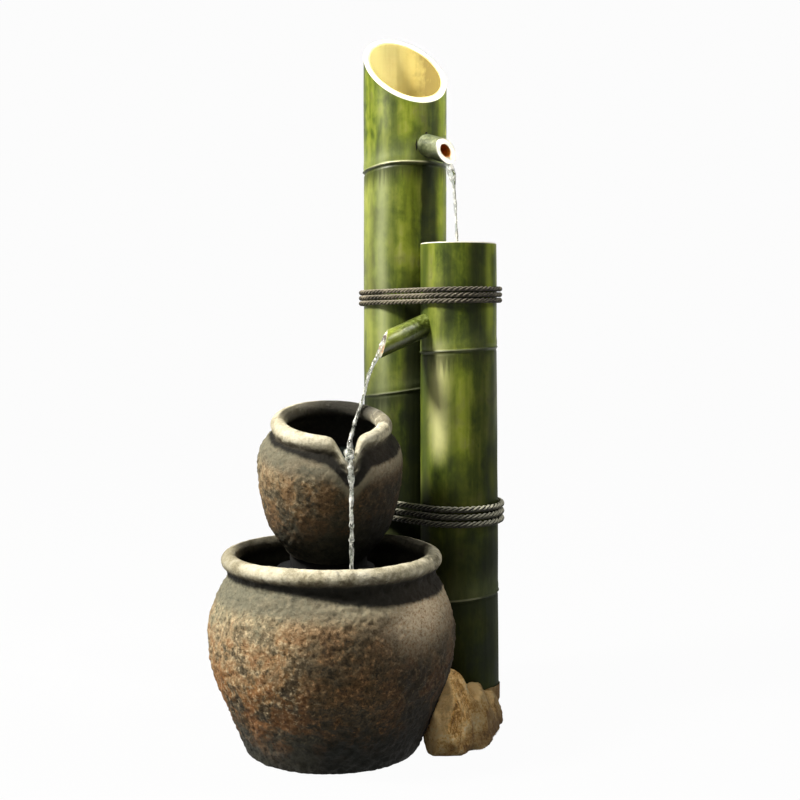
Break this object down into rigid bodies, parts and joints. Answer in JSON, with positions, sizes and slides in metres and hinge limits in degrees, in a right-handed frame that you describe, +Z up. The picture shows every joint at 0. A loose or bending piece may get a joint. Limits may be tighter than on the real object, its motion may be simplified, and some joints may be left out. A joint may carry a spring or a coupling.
{
  "type": "bamboo and jar fountain",
  "caption": "Garden fountain: water runs from a slant-cut bamboo culm to a shorter culm, a tipped clay jar with a lip, and a wide jar that holds a hidden pump.",
  "frame": {"origin": "middle of the large jar's foot, on the ground", "axes": "+Z up; the front, where the small jar pours, towards -Y; the bamboo culms at the back right, towards +X and +Y"},
  "size_m": [0.3308, 0.3769, 0.8094],
  "materials": {
    "stoneware": "rough fired clay, rust to charcoal, with a pale worn rim",
    "bamboo": "green culm with a waxy satin skin and darker patches",
    "spout_bamboo": "green cane, pale at its cut end",
    "rope": "dark twisted natural fibre",
    "rock": "rough tan stone",
    "plug_wood": "plain turned wood",
    "steel": "stainless",
    "black_plastic": "moulded, fine grain",
    "grey_plastic": "moulded, satin",
    "rubber": "soft, matt",
    "clear_vinyl": "clear hose",
    "sponge": "open-cell filter sponge",
    "white_ceramic": "ground smooth",
    "ferrite": "sintered magnet"
  },
  "bodies": {
    "fountain": {"large_jar": "stoneware", "tall_culm": "bamboo", "short_culm": "bamboo", "upper_spout": "spout_bamboo", "lower_spout": "spout_bamboo", "upper_lashing": "rope", "upper_lashing_knot": "rope", "lower_lashing": "rope", "lower_lashing_knot": "rope", "rock_base": "rock", "tall_culm_plug": "plug_wood", "short_culm_plug": "plug_wood", "plug_screw_1": "steel", "plug_screw_2": "steel", "plug_screw_3": "steel", "plug_screw_4": "steel", "pump_hose_clamp": "steel", "link_hose_clamp": "steel", "riser_foot_clamp": "steel", "riser_top_clamp": "steel", "stand_plate": "black_plastic", "pump_body": "black_plastic", "pump_outlet": "black_plastic", "stand_leg_1": "grey_plastic", "stand_leg_2": "grey_plastic", "stand_leg_3": "grey_plastic", "chamber_cover": "grey_plastic", "tank_connector": "grey_plastic", "tank_nut": "grey_plastic", "foot_elbow": "grey_plastic", "spout_elbow": "grey_plastic", "upper_spout_grommet": "rubber", "lower_spout_grommet": "rubber", "entry_grommet": "rubber", "stand_foot_1": "rubber", "stand_foot_2": "rubber", "stand_foot_3": "rubber", "tilt_wedge": "rubber", "pump_cable_gland": "rubber", "suction_foot_1": "rubber", "suction_foot_2": "rubber", "suction_foot_3": "rubber", "suction_foot_4": "rubber", "front_shaft_bush": "rubber", "rear_shaft_bush": "rubber", "tank_gasket": "rubber", "jar_cable_gland": "rubber", "pump_hose": "clear_vinyl", "link_hose": "clear_vinyl", "riser_tube": "clear_vinyl", "rotor_shaft": "white_ceramic"},
    "small_jar": {"small_jar": "stoneware"},
    "rotor": {"impeller": "ferrite"},
    "intake": {"intake_cover": "black_plastic", "intake_sponge": "sponge"},
    "dial": {"flow_dial": "grey_plastic"}
  },
  "joints": [
    {"name": "small_jar_lift", "type": "slide", "parent": "fountain", "child": "small_jar", "axis": [0.0392, -0.2473, 0.9681], "range_m": [0, 0.09]},
    {"name": "impeller_spin", "type": "hinge", "parent": "fountain", "child": "rotor", "pos_m": [0, -0.037, 0.0406], "axis": [0, -1, 0], "continuous": true},
    {"name": "intake_pull", "type": "slide", "parent": "fountain", "child": "intake", "axis": [0, -1, 0], "range_m": [0, 0.015]},
    {"name": "dial_turn", "type": "hinge", "parent": "intake", "child": "dial", "pos_m": [0, -0.0735, 0.0406], "axis": [0, -1, 0], "range_deg": [0, 90]}
  ]
}
